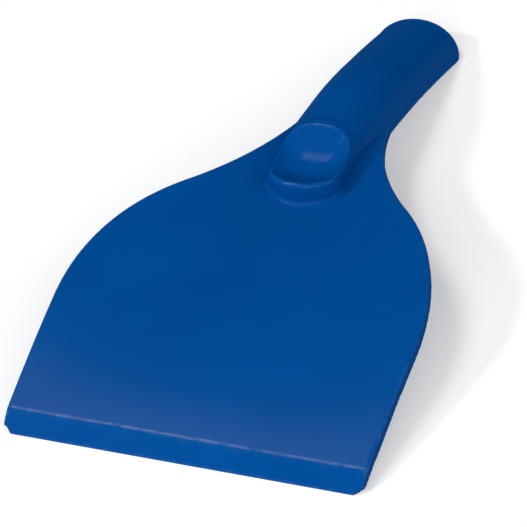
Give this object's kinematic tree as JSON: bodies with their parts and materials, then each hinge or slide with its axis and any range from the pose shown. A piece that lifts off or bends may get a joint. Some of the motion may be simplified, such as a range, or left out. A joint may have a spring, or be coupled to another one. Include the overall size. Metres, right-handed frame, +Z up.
{
  "type": "windshield ice scraper",
  "caption": "Hand-held plastic ice scraper: a wide arched blade with a bevelled edge and a half-pipe grip, hollow below, with a thumb dish in its nose.",
  "frame": {"origin": "On the surface that the scraper stands on, under the middle of its length and width.", "axes": "+Y points from the scraping edge towards the heel of the grip, +X to the right as seen from the scraping edge, +Z up."},
  "size_m": [0.1202, 0.2122, 0.0297],
  "materials": {
    "blue_plastic": "satin blue, finely spark-eroded"
  },
  "bodies": {
    "root": {"scraping_edge": "blue_plastic", "blade": "blue_plastic", "thumb_rest_neck": "blue_plastic", "grip_shell": "blue_plastic", "grip_heel": "blue_plastic"}
  },
  "joints": []
}
